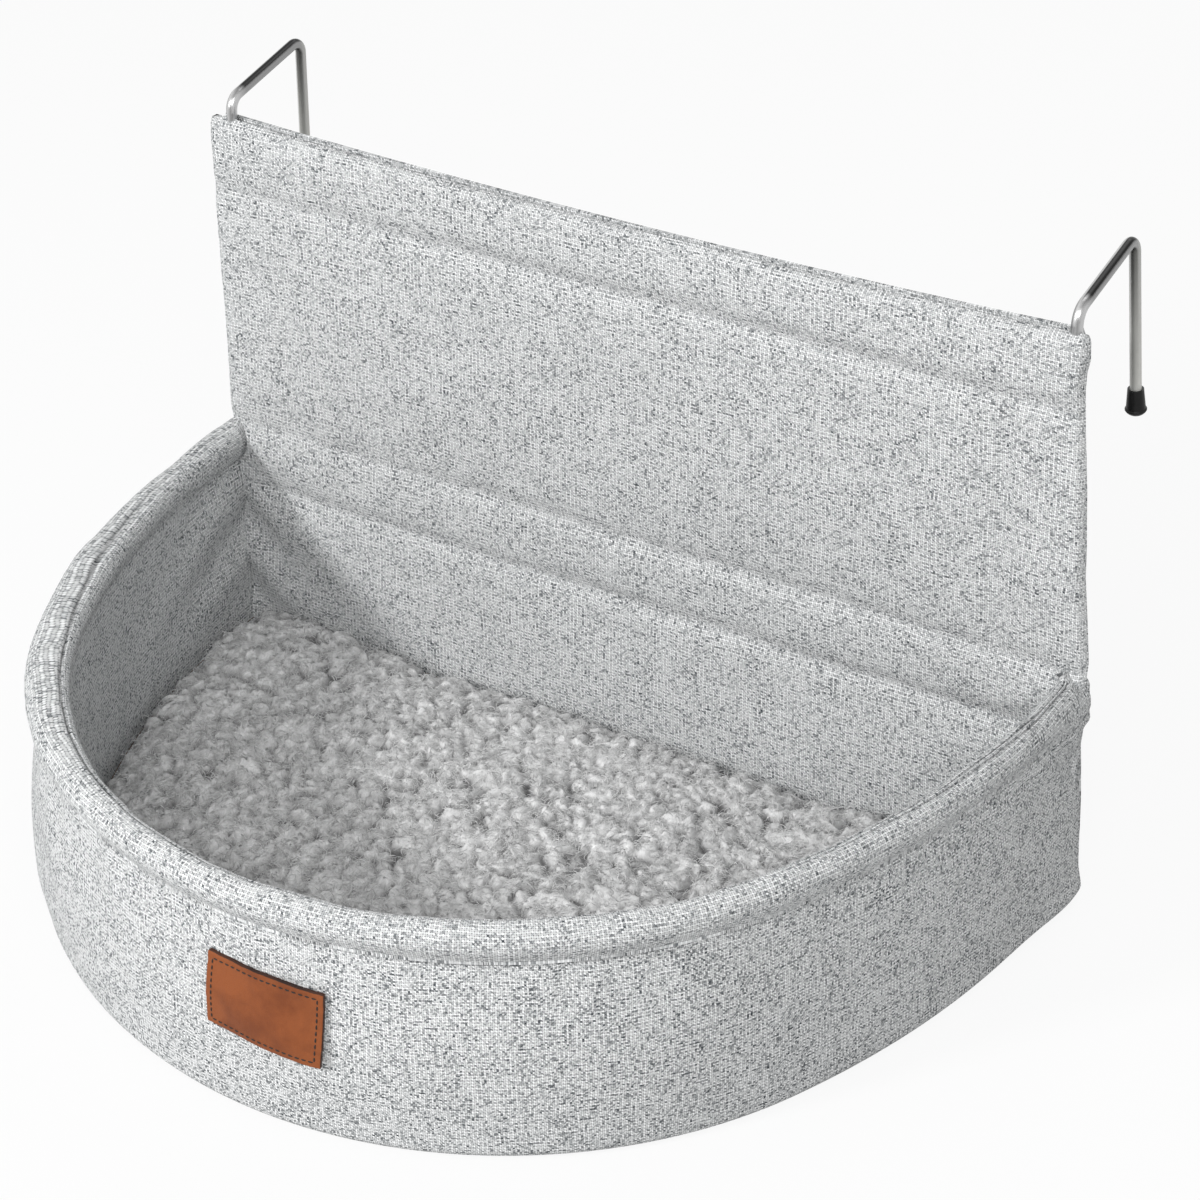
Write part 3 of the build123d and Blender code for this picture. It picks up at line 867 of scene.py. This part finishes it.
capLow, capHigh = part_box("right_hook_cap")
backValues = {
    "frontY": backLow.y,
    "rearY": backHigh.y,
    "bottom": backLow.z,
    "top": backHigh.z,
    "topHalf": 0.216,
    "rimHalf": 0.219,
    "sag": 0.0045,
    "edge": 0.0036,          # rounding of the free edges
    "corner": 0.0030,
    "hem": 0.240,            # heights of the cross seams
    "rimSeam": 0.117,
    "lowSeam": 0.084,
    "upright": 0.183,        # side seams from the middle
    "groove": 0.0015,
    "grooveWidth": 0.0050,
    "rodX": (capLow.x + capHigh.x) / 2,
    "rodHalf": 0.0045,       # the seams aren't pressed in over the rods
    "deepest": 0.004,
    "puff": 0.0012,
    "hemPuff": 0.0016,
    "waver": (0.0012, 0.06),         # height and size of the soft noise in the seams' lines
    "uneven": (0.0009, 0.05),
    "gathers": (0.0005, 0.014),
    "cornerFolds": (0.0013, 0.040),  # height and pitch
    "leftStops": (0.098, 0.114, 0.127, 0.143, 0.158, 0.190, 0.237, 0.258, 0.264, 0.275),
    "left": (0.2215, 0.2222, 0.2222, 0.2212, 0.2207, 0.2209, 0.2213, 0.2202, 0.2206, 0.2202),
    "rightStops": (0.098, 0.123, 0.150, 0.164, 0.178, 0.191, 0.205, 0.218, 0.232, 0.250, 0.258, 0.264,
                   0.275),
    "right": (0.2240, 0.2256, 0.2228, 0.2212, 0.2207, 0.2198, 0.2189, 0.2177, 0.2163, 0.2150, 0.2151,
              0.2162, 0.2156),
}


def backHalfWidth(z, side):
    left = np.interp(z, backValues["leftStops"], backValues["left"])
    right = np.interp(z, backValues["rightStops"], backValues["right"])
    return np.where(side > 0, right, left)


def backThickness(x, z, top, half):
    full = backValues["rearY"] - backValues["frontY"]
    seams = [backValues["hem"], backValues["rimSeam"], backValues["lowSeam"]]
    thick = np.full_like(x, full)
    high, size = backValues["waver"]
    waver = high * ripples(21, x, z, size, 2)
    press = np.zeros_like(x)
    for z0 in seams:
        press = np.maximum(press, np.exp(-((z - z0 - waver) / backValues["grooveWidth"]) ** 2))
    between = smoothStep(z, backValues["rimSeam"] - 0.001, backValues["rimSeam"] + 0.003)
    between *= 1 - smoothStep(z, backValues["hem"] - 0.003, backValues["hem"] + 0.001)
    upright = np.exp(-((np.abs(x) - backValues["upright"] - waver) / backValues["grooveWidth"]) ** 2)
    press = np.maximum(press, upright * between)
    puff = np.zeros_like(x)
    lines = [backValues["bottom"], backValues["lowSeam"], backValues["rimSeam"], backValues["hem"]]
    for low, high in zip(lines, lines[1:]):
        share = np.clip((z - low) / (high - low), 0, 1)
        puff = np.maximum(puff, np.sin(np.pi * share) ** 0.6)
    sideShare = np.clip(np.abs(np.abs(x) - backValues["upright"]) / 0.02, 0, 1)
    inPanel = (z > backValues["rimSeam"]) & (z < backValues["hem"])
    puff = np.where(inPanel, puff * np.sin(0.5 * np.pi * sideShare), puff)
    thick += backValues["puff"] * puff
    hemShare = np.clip((z - backValues["hem"]) / (top - backValues["hem"]), 0, 1)
    thick += backValues["hemPuff"] * np.sin(np.pi * hemShare) ** 0.7 * (z > backValues["hem"])
    high, size = backValues["uneven"]
    thick += high * ripples(23, x, z, size, 3)
    high, size = backValues["gathers"]
    fine = high * ripples(25, x, z * 0.5, size, 2) * np.exp(-((z - backValues["rimSeam"]) / 0.02) ** 2)
    fromCorner = backValues["rimHalf"] - np.abs(x)
    high, pitch = backValues["cornerFolds"]
    slanting = np.sin(2 * np.pi * (fromCorner * 0.55 + z) / pitch + 1.5 * np.sin(fromCorner * 60))
    fine += high * slanting * (1 - smoothStep(fromCorner, 0.01, 0.075)) * (1 - smoothStep(z, 0.085, 0.112))
    clear = 0.5 + 0.5 * smoothStep(x, -0.20, -0.02)      # the seams show less on the left
    thick += fine - backValues["groove"] * press * clear
    overRod = np.exp(-((np.abs(x) - backValues["rodX"]) / backValues["rodHalf"]) ** 2)
    return np.maximum(thick, full - backValues["deepest"] * (1 - overRod) - 0.0002)


def backSurface(front):
    def surface(u, v):
        x = 2 * u - 1
        z = backValues["bottom"] + v * (backValues["top"] - backValues["bottom"])
        half = backHalfWidth(z, np.sign(x))
        x = x * half
        sag = backValues["sag"] * (1 - np.abs(x / backValues["topHalf"]) ** 2.6)
        top = backValues["top"] - np.clip(sag, 0, None)
        lifted = smoothStep(z, backValues["hem"] - 0.06, backValues["top"])
        z = z - (backValues["top"] - top) * lifted
        thick = backThickness(x, z, top, half)
        edge = backValues["edge"]
        toTop = top - z
        corner = backValues["corner"]
        drop = corner - np.sqrt(corner ** 2 - np.clip(corner - toTop, 0, corner) ** 2)
        x = x * (half - drop) / half
        toSide = half - drop - np.abs(x)
        rim = np.minimum(np.minimum(toSide, toTop), (z - backValues["bottom"]) * 4)
        share = np.clip(rim / edge, 0, 1)
        rounding = np.sqrt(np.clip(1 - (1 - share) ** 2, 0, 1))
        middle = (backValues["frontY"] + backValues["rearY"]) / 2
        rear = backValues["rearY"] - middle
        full = thick - rear
        y = middle - full * rounding if front else middle + rear * rounding
        deep = full * (1 - rounding) if front else 2 * full
        weaveX = x + 0.5 + np.where(toSide < toTop, np.sign(x) * deep, 0)
        weaveZ = z + np.where(toSide < toTop, 0, deep) + (0 if front else 0.4)
        # painted shade along the hem's seam
        press = np.exp(-((z - backValues["hem"]) / 0.0012) ** 2)
        return np.column_stack((x, y, z)), np.column_stack((weaveX, weaveZ)), 0.12 * press
    return surface


def joinPieces(first, *others):
    bpy.ops.object.select_all(action="DESELECT")
    for piece in (first, *others):
        piece.select_set(True)
    bpy.context.view_layer.objects.active = first
    bpy.ops.object.join()
    return first


backPad = gridPiece("backPad", 230, 170, backSurface(True))
backRear = gridPiece("backRear", 230, 170, backSurface(False))
joinPieces(backPad, backRear)
mergeDoubles(backPad)
outwards(backPad)
smooth(backPad)
setMaterial(backPad, clothMaterial)
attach(backPad, "bed")
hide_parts("front_cover", "panel_pad", "bowl_back_foam")
print("padded back ready")


# Cloth of the back, of the floor and of the underside

def copyNode(name, newName):
    piece = nodes[name].copy()
    piece.data = nodes[name].data.copy()
    piece.parent = None
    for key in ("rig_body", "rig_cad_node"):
        if key in piece:
            del piece[key]
    piece.name = newName
    bpy.context.scene.collection.objects.link(piece)
    mergeDoubles(piece)
    return piece


def flatSheet(nodeName, newName, plane):
    # a cloth with the node's form, and its weave laid out in a plane
    piece = copyNode(nodeName, newName)
    smooth(piece, 30)
    if not piece.data.uv_layers:
        piece.data.uv_layers.new(name="UVMap")
    weave = getPlaces(piece)[:, plane][loopCorners(piece)] + 0.5
    piece.data.uv_layers[0].name = "UVMap"
    piece.data.uv_layers[0].data.foreach_set("uv", weave.ravel())
    setMaterial(piece, clothMaterial)
    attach(piece, "bed")
    return piece


rearValues = {
    "rowsFrom": 0.1185,      # rows of points up the panel's edges
    "rowPitch": 0.0099,
    "rows": 16,
    "rimTop": 0.118,
    "wallTop": 0.1143,
    "edgeBand": 0.012,
    "footFrom": 0.205,       # half width past which the lower part moves
    "footShare": 0.5,        # how far it follows the fuller wall
    "behind": 0.0026,        # how far the edge stays behind the padding's
    "topCorner": 0.0030,
}


def followBack(piece, values):
    # the cloth's side edges follow the padding above the rim and the fuller wall below it
    places = getPlaces(piece)
    x, z = places[:, 0], places[:, 2]
    side = np.sign(x)
    half = np.interp(z, [values["wallTop"], backValues["top"]], [backValues["rimHalf"], backValues["topHalf"]])
    atEdge = (z > values["rimTop"]) & (np.abs(x) > half - values["edgeBand"])
    wanted = backHalfWidth(z, side) - values["behind"]
    wanted = wanted - values["topCorner"] * smoothStep(z, 0.2670, backValues["top"])
    atFoot = (z < values["rimTop"]) & (np.abs(x) > values["footFrom"])
    swollen = np.clip(fullness(np.where(x > 0, planLength, 0.0), z), 0, None) * smoothStep(z, 0.0, 0.002)
    move = np.where(atFoot, swollen * values["footShare"], 0) + np.where(atEdge, wanted - half, 0)
    places[:, 0] += side * move
    setPlaces(piece, places)


rearCloth = flatSheet("rear_cover", "rearCloth", [0, 2])
rows = rearValues["rowsFrom"] + rearValues["rowPitch"] * np.arange(rearValues["rows"])
cutRows(rearCloth, Vector((0, 0, 1)), [0.002, *fullValues["endHeights"][1:-1], *rows.tolist()])
followBack(rearCloth, rearValues)
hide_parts("rear_cover")
floorCloth = flatSheet("floor_lining", "floorCloth", [0, 1])
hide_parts("floor_lining")
underCloth = flatSheet("base_cloth", "underCloth", [0, 1])
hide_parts("base_cloth")
print("flat cloths ready")


# Fleece cushion

cushionValues = {
    "voxel": 0.005,
    "startZ": 0.0108,        # top of the form before it is blown up
    "pressure": 4.0,
    "frames": 20,
    "cap": 0.0028,           # furthest that a point may move
    "crown": 0.0045,
    "waves": (0.0016, 0.045),    # height and size of its unevenness
    "reach": (0.235, 0.20),
    "fine": 0.00105,         # mesh of the pile
    "tufts": ((0.0054, 0.0052), (0.0026, 0.0020)),   # spacing and height
    "meander": (0.0022, 0.0060),     # how far the tufts are moved about, and over what size
    "away": (-0.5, 0.86, 0.0),       # the tufts are longer this way
    "fuzz": (0.0005, 0.0013),
    "lean": 0.0030,          # how far the tufts' tips lie over
    "leanSize": 0.011,
    "combed": (0.10, -0.45, 0.0),
    "strands": 38000,
    "strandLength": 0.0034,
    "strandRadius": 0.00018,
    "flowSize": 0.008,
    "lift": (0.15, 0.85),    # least and most that a strand rises, per its length
    "flatUnder": -0.1,       # no pile where the form faces down
    "seed": 7,
}


def cushionForm():
    piece = copyNode("cushion_backing", "fleeceCushion")
    low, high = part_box("cushion_backing")
    places = getPlaces(piece)
    upper = places[:, 2] > (low.z + high.z) / 2
    places[upper, 2] = cushionValues["startZ"]
    setPlaces(piece, places)
    applyModifier(piece, "REMESH", mode="VOXEL", voxel_size=cushionValues["voxel"])
    applyModifier(piece, "SMOOTH", factor=0.5, iterations=2)
    blowUp(piece)
    applyModifier(piece, "SUBSURF", levels=1, render_levels=1)
    places = getPlaces(piece)
    places[:, 2] = np.maximum(places[:, 2], low.z)
    reachX, reachY = cushionValues["reach"]
    reach = np.hypot(places[:, 0] / reachX, (places[:, 1] - low.y - reachY / 2) / reachY).clip(0, 1)
    share = np.clip((places[:, 2] - low.z) / (cushionValues["startZ"] - low.z), 0, 1)
    places[:, 2] += cushionValues["crown"] * (1 - reach ** 2) * share
    tall, size = cushionValues["waves"]
    places[:, 2] += tall * ripples(31, places[:, 0], places[:, 1], size, 2) * share
    setPlaces(piece, places)
    return piece


def blowUp(piece):
    # cloth held up by the air inside it
    selectOnly(piece)
    before = getPlaces(piece)
    cloth = piece.modifiers.new("Cloth", "CLOTH")
    cloth.settings.quality = 5
    cloth.settings.use_pressure = True
    cloth.settings.uniform_pressure_force = cushionValues["pressure"]
    cloth.settings.effector_weights.gravity = 0
    for frameNumber in range(1, cushionValues["frames"] + 1):
        bpy.context.scene.frame_set(frameNumber)
    bpy.ops.object.modifier_apply(modifier=cloth.name)
    bpy.context.scene.frame_set(1)
    move = getPlaces(piece) - before
    size = np.linalg.norm(move, axis=1)
    move *= np.minimum(1, cushionValues["cap"] / np.maximum(size, 1e-9))[:, None]
    setPlaces(piece, before + move)
    print("cushion blown up, furthest", round(float(size.max()), 4))


def getNormals(piece):
    normals = np.empty(len(piece.data.vertices) * 3)
    piece.data.vertex_normals.foreach_get("vector", normals)
    return normals.reshape(-1, 3)


def storePile(piece, values):
    store = piece.data.attributes.new("pile", "FLOAT", "POINT")
    store.data.foreach_set("value", np.clip(values, 0, 1).astype(np.float32))


def raiseTufts(piece):
    # rounded tufts in two sizes whose tips lie over, kept as "pile" for the colour, which paints shade into the
    # gaps between the tufts
    applyModifier(piece, "REMESH", mode="VOXEL", voxel_size=cushionValues["fine"])
    applyModifier(piece, "SMOOTH", factor=0.5, iterations=3)
    places, normals = getPlaces(piece), getNormals(piece)
    (wide, tall), (narrow, low) = cushionValues["tufts"]
    meander, meanderSize = cushionValues["meander"]
    fuzz, fuzzSize = cushionValues["fuzz"]
    standing = np.empty(len(places))
    side = np.empty((len(places), 3))
    away = Vector(cushionValues["away"])
    for number, place in enumerate(places):
        spot = Vector(place)
        spot += meander * noise.noise_vector(spot / meanderSize)
        drawn = spot - 0.40 * spot.dot(away) * away
        first = noise.voronoi(drawn / wide)[0][0]
        second = noise.voronoi(drawn / narrow)[0][0]
        standing[number] = tall * max(0.0, 1 - first * first) + low * max(0.0, 1 - second * second)
        standing[number] += fuzz * noise.noise(spot / fuzzSize)
        side[number] = noise.noise_vector(spot / cushionValues["leanSize"])
    share = standing / (tall + low)
    facing = smoothStep(normals[:, 2], cushionValues["flatUnder"] - 0.3, cushionValues["flatUnder"] + 0.3)
    side = side * 1.4 + np.array(cushionValues["combed"])
    side -= (side * normals).sum(1)[:, None] * normals
    grown = places + normals * (standing * facing)[:, None]
    grown += side * (cushionValues["lean"] * share ** 2 * facing)[:, None]
    grown[:, 2] = np.maximum(grown[:, 2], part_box("cushion_backing")[0].z)
    setPlaces(piece, grown)
    storePile(piece, (share - 0.30) / 0.60)
    print("tufts raised on", len(places), "points, mean share", round(float(share.mean()), 3))


def growStrands(piece):
    # fine tapering strands that lie over the tufts
    rng = np.random.default_rng(cushionValues["seed"])
    count = cushionValues["strands"]
    places, normals = getPlaces(piece), getNormals(piece)
    pile = np.empty(len(places))
    piece.data.attributes["pile"].data.foreach_get("value", pile)
    weights = np.where(normals[:, 2] > 0.05, 0.25 + pile, 0) * (places[:, 2] > cushionValues["startZ"])
    roots = rng.choice(len(places), count, p=weights / weights.sum())
    spots, up = places[roots], normals[roots]
    flow = np.array([noise.noise_vector(Vector(spot) / cushionValues["flowSize"]) for spot in spots])
    side = flow * 1.6 + 0.6 * rng.normal(size=(count, 3)) + np.array(cushionValues["combed"])
    side -= (side * up).sum(1)[:, None] * up
    side /= np.maximum(np.linalg.norm(side, axis=1), 1e-9)[:, None]
    across = np.cross(up, side)
    length = cushionValues["strandLength"] * (1 + 0.25 * rng.normal(size=count)).clip(0.4, 1.6)
    radius = cushionValues["strandRadius"] * (1 + 0.2 * rng.normal(size=count)).clip(0.5, 1.5)
    curl = 0.5 * rng.normal(size=count)
    lift = rng.uniform(*cushionValues["lift"], count)
    rings, points = [], []
    for t, thick in ((0.0, 1.0), (0.33, 0.95), (0.66, 0.75), (0.9, 0.4)):
        middle = (spots + side * (length * t)[:, None] + across * (length * curl * t * t)[:, None]
                  + up * (length * lift * math.sin(math.pi * (0.08 + 0.72 * t)) - 0.0003)[:, None])
        for turn in (0.0, 2 * math.pi / 3, 4 * math.pi / 3):
            points.append(middle + (radius * thick)[:, None] * (across * math.cos(turn) + up * math.sin(turn)))
            rings.append(t)
    points.append(middle + side * (length * 0.12)[:, None])
    rings.append(1.0)
    points = np.stack(points, axis=1)
    faces = [(0, 2, 1), (9, 10, 12), (10, 11, 12), (11, 9, 12)]
    for ring in (0, 3, 6):
        faces += [(ring + i, ring + (i + 1) % 3, ring + 3 + (i + 1) % 3, ring + 3 + i) for i in range(3)]
    starts = np.arange(count) * 13
    allFaces = [tuple(first + corner for corner in face) for first in starts.tolist() for face in faces]
    mesh = bpy.data.meshes.new("strands")
    mesh.from_pydata(points.reshape(-1, 3), [], allFaces)
    strands = bpy.data.objects.new("strands", mesh)
    bpy.context.scene.collection.objects.link(strands)
    # strands lighter towards their ends, painted shade near their roots
    storePile(strands, (pile[roots][:, None] + 0.12 + 0.20 * np.array(rings)[None, :]).ravel())
    return strands


fleeceCushion = cushionForm()
raiseTufts(fleeceCushion)
joinPieces(fleeceCushion, growStrands(fleeceCushion))
smooth(fleeceCushion, 180)
setMaterial(fleeceCushion, fleeceMaterial)
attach(fleeceCushion, "cushion")
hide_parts("cushion_fleece", "cushion_core", "cushion_backing")
print("cushion ready", len(fleeceCushion.data.polygons))


# Leather patch with its stitching

patchValues = {
    "width": 0.054,
    "height": 0.0350,
    "thick": 0.0020,
    "offset": 0.0118,
    "base": 0.0415,
    "lean": 0.0022,          # the top stands to the right of the foot
    "tilt": -0.060,
    "stitchIn": 0.0026,
    "stitchPitch": 0.0029,
    "stitchLength": 0.0024,
    "stitchRadius": 0.00036,
    "bevel": 0.00035,
    "ragged": 0.00028,       # unevenness of the cut edge
    "raggedSize": 0.0032,
}


def onPatch(places):
    # lays flat x, depth, height on the front of the wall
    x, depth, z = places.T
    wave = 0.0009 * np.sin(x * 95 + 0.6) + 0.0006 * np.sin(z * 150 + x * 40)
    tall = patchValues["height"]
    tilted = z + patchValues["tilt"] * x
    x = x + patchValues["offset"] + patchValues["lean"] * (z / tall - 0.5)
    z = tilted + patchValues["base"] + 0.0006 * np.sin(x * 60)
    distance = planLength / 2 + x
    inset = wallInset(z) + wallDent(distance, z) - plyValues["gap"] - depth - 0.0003
    return atInset(distance, inset - wave - 0.0006, z)


def flatPatch():
    bpy.ops.object.select_all(action="DESELECT")
    bpy.ops.mesh.primitive_cube_add(size=1)
    piece = bpy.context.object
    piece.name = "leatherPatch"
    wide, thick, tall = (patchValues[key] for key in ("width", "thick", "height"))
    editWhole(piece, bpy.ops.transform.resize, value=(wide, thick, tall))
    editWhole(piece, bpy.ops.mesh.bevel, offset=patchValues["bevel"], segments=2, affect="EDGES")
    piece.data.transform(Matrix.Translation((0, thick / 2, tall / 2)))
    cutRows(piece, Vector((1, 0, 0)), [wide * ((count + 0.5) / 36 - 0.5) for count in range(36)])
    cutRows(piece, Vector((0, 0, 1)), [tall * (count + 0.5) / 24 for count in range(24)])
    return piece


def raggedEdges(places):
    x, depth, z = places.T
    middleZ, margin = patchValues["height"] / 2, 0.0008
    ragged = patchValues["ragged"] * ripples(41, x, z, patchValues["raggedSize"], 2)
    atSide = patchValues["width"] / 2 - np.abs(x) < margin
    atEnd = middleZ - np.abs(z - middleZ) < margin
    return np.column_stack((x + ragged * np.sign(x) * atSide, depth.max() - depth,
                            z + ragged * np.sign(z - middleZ) * atEnd))


leatherPatch = flatPatch()
sideFaces = [abs(face.normal.y) < 0.5 for face in leatherPatch.data.polygons]
setPlaces(leatherPatch, onPatch(raggedEdges(getPlaces(leatherPatch))))
setMaterial(leatherPatch, leatherMaterial, cutEdgeMaterial)
for face, isSide in zip(leatherPatch.data.polygons, sideFaces):
    face.material_index = 1 if isSide else 0
outwards(leatherPatch)
smooth(leatherPatch, 40)
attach(leatherPatch, "bed")
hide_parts("leather_patch")
print("leather patch ready")


def threadBeads(name, starts, ends, radius):
    # one bead of thread between each start and end, bowed out to the front
    bpy.ops.object.select_all(action="DESELECT")
    bpy.ops.mesh.primitive_uv_sphere_add(segments=8, ring_count=6, radius=1)
    pattern = bpy.context.object
    shape = getPlaces(pattern)
    faces = [tuple(face.vertices) for face in pattern.data.polygons]
    bpy.data.objects.remove(pattern)
    out = Vector((0, -1, 0))
    places, allFaces = [], []
    for start, end in zip(starts, ends):
        start, end = Vector(start), Vector(end)
        line = end - start
        side = line.normalized().cross(out)
        middle = (start + end) / 2
        first = len(places)
        for x, y, z in shape:
            sink = out * (-0.8 * radius * z * z)
            places.append(middle + line * (0.5 * z) + side * (radius * x) + out * (radius * y) + sink)
        allFaces += [tuple(first + number for number in face) for face in faces]
    mesh = bpy.data.meshes.new(name)
    mesh.from_pydata([tuple(place) for place in places], [], allFaces)
    piece = bpy.data.objects.new(name, mesh)
    bpy.context.scene.collection.objects.link(piece)
    outwards(piece)
    smooth(piece, 180)
    return piece


def stitchPatch():
    margin = patchValues["stitchIn"]
    halfX = patchValues["width"] / 2 - margin
    lowZ, highZ = margin, patchValues["height"] - margin
    corners = [(-halfX, lowZ), (halfX, lowZ), (halfX, highZ), (-halfX, highZ), (-halfX, lowZ)]
    starts, ends = [], []
    for first, last in zip(corners, corners[1:]):
        first, last = np.array(first), np.array(last)
        length = np.hypot(*(last - first))
        count = round(length / patchValues["stitchPitch"])
        step = (last - first) / count
        for number in range(count):
            middle = first + step * (number + 0.5)
            reach = step * (0.5 * patchValues["stitchLength"] / patchValues["stitchPitch"])
            starts.append(middle - reach)
            ends.append(middle + reach)
    depth = patchValues["thick"] + 0.00008
    laid = [onPatch(np.array([(x, depth, z) for x, z in points])) for points in (starts, ends)]
    return threadBeads("patchStitches", *laid, patchValues["stitchRadius"])


patchStitches = stitchPatch()
setMaterial(patchStitches, threadMaterial)
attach(patchStitches, "bed")
print("stitches ready")
